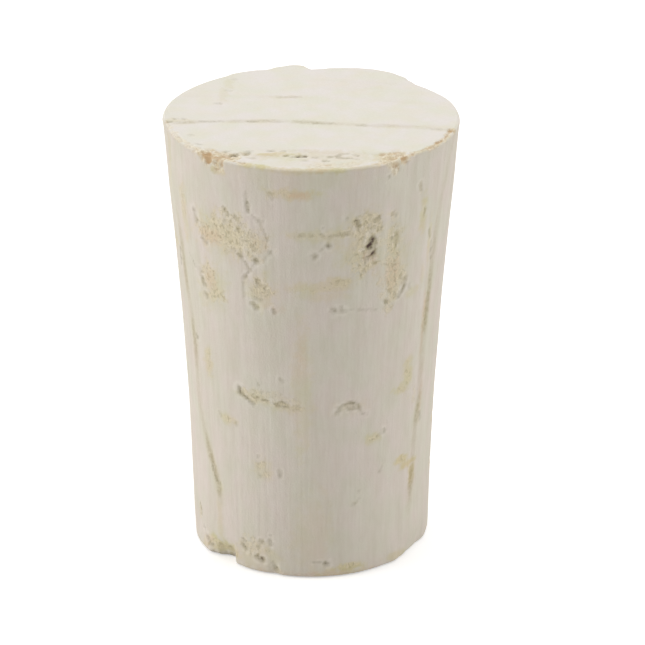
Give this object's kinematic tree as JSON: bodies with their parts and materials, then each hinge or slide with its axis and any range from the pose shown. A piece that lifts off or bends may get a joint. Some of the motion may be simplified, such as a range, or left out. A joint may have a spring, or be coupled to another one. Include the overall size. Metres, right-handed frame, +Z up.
{
  "type": "tapered cork stopper",
  "caption": "Tapered plug of natural cork that closes a jar, flask or bottle neck, with growth lines, lenticels and small chips at its rims.",
  "frame": {"origin": "centre of the narrow foot, on the surface that the stopper stands on", "axes": "+Z up the plug to its wide top, -Y the front that the main chips face, +X to the right of that front"},
  "size_m": [0.025, 0.0256, 0.038],
  "materials": {
    "cork": "matt, ground natural cork, pale and unstained"
  },
  "bodies": {
    "root": {"cork_stopper": "cork"}
  },
  "joints": []
}
